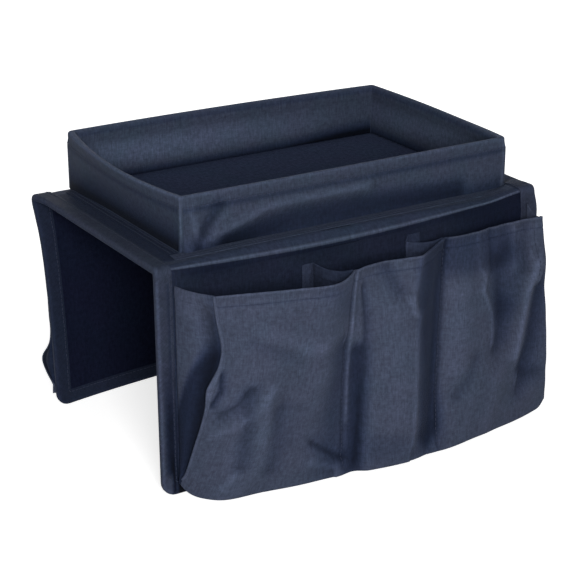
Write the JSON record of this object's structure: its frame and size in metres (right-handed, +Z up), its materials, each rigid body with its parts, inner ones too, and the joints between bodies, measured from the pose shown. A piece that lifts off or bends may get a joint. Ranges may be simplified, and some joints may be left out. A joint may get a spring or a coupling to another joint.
{
  "type": "sofa armrest organizer",
  "caption": "Cloth caddy that lies over a sofa armrest: a stiffened top with an open walled tray, and a hanging flap of open pockets on either side.",
  "frame": {"origin": "middle of the top panel's underside, which rests on the armrest", "axes": "+Z up, X along the armrest, and the front flap, with the larger pockets, towards -Y"},
  "size_m": [0.3235, 0.2763, 0.2084],
  "materials": {
    "cover_cloth": "dark navy woven cloth over the top, the tray and the flaps' outer faces",
    "pocket_cloth": "dark navy woven cloth, unstiffened, with folds",
    "binding_tape": "folded edge tape, stitched",
    "lining_cloth": "nearly black lining cloth",
    "stiff_board": "grey stiffening board inside the cloth"
  },
  "bodies": {
    "top": {"top_board": "stiff_board", "top_cover": "cover_cloth", "top_lining": "lining_cloth", "top_binding_left": "binding_tape", "top_binding_right": "binding_tape", "tray_wall_sleeve_front": "cover_cloth", "tray_wall_board_front": "stiff_board", "tray_wall_sleeve_rear": "cover_cloth", "tray_wall_board_rear": "stiff_board", "tray_wall_sleeve_left": "cover_cloth", "tray_wall_board_left": "stiff_board", "tray_wall_sleeve_right": "cover_cloth", "tray_wall_board_right": "stiff_board", "tray_floor_board": "stiff_board", "tray_floor_lining": "lining_cloth", "tray_flange_front": "cover_cloth", "tray_flange_left": "cover_cloth"},
    "front_flap": {"front_fold_cloth": "cover_cloth", "front_flap_board": "stiff_board", "front_flap_cover": "cover_cloth", "front_flap_lining": "lining_cloth", "front_flap_binding": "binding_tape", "front_pocket_sheet": "pocket_cloth", "front_pocket_gusset_left": "pocket_cloth", "front_pocket_gusset_right": "pocket_cloth", "front_pocket_divider_1": "pocket_cloth", "front_pocket_divider_2": "pocket_cloth", "front_pocket_floor": "pocket_cloth"},
    "rear_flap": {"rear_fold_cloth": "cover_cloth", "rear_flap_board": "stiff_board", "rear_flap_cover": "cover_cloth", "rear_flap_lining": "lining_cloth", "rear_flap_binding": "binding_tape", "rear_pocket_sheet": "pocket_cloth", "rear_pocket_gusset_left": "pocket_cloth", "rear_pocket_gusset_right": "pocket_cloth", "rear_pocket_divider_1": "pocket_cloth", "rear_pocket_divider_2": "pocket_cloth", "rear_pocket_floor": "pocket_cloth"}
  },
  "joints": [
    {"name": "front_flap_fold", "type": "hinge", "parent": "top", "child": "front_flap", "pos_m": [0, -0.0919, -0.0009], "axis": [1, 0, 0], "range_deg": [-90, 90], "deforming": ["front_fold_cloth"]},
    {"name": "rear_flap_fold", "type": "hinge", "parent": "top", "child": "rear_flap", "pos_m": [0, 0.0919, -0.0009], "axis": [1, 0, 0], "range_deg": [-15, 97], "deforming": ["rear_fold_cloth"]}
  ]
}
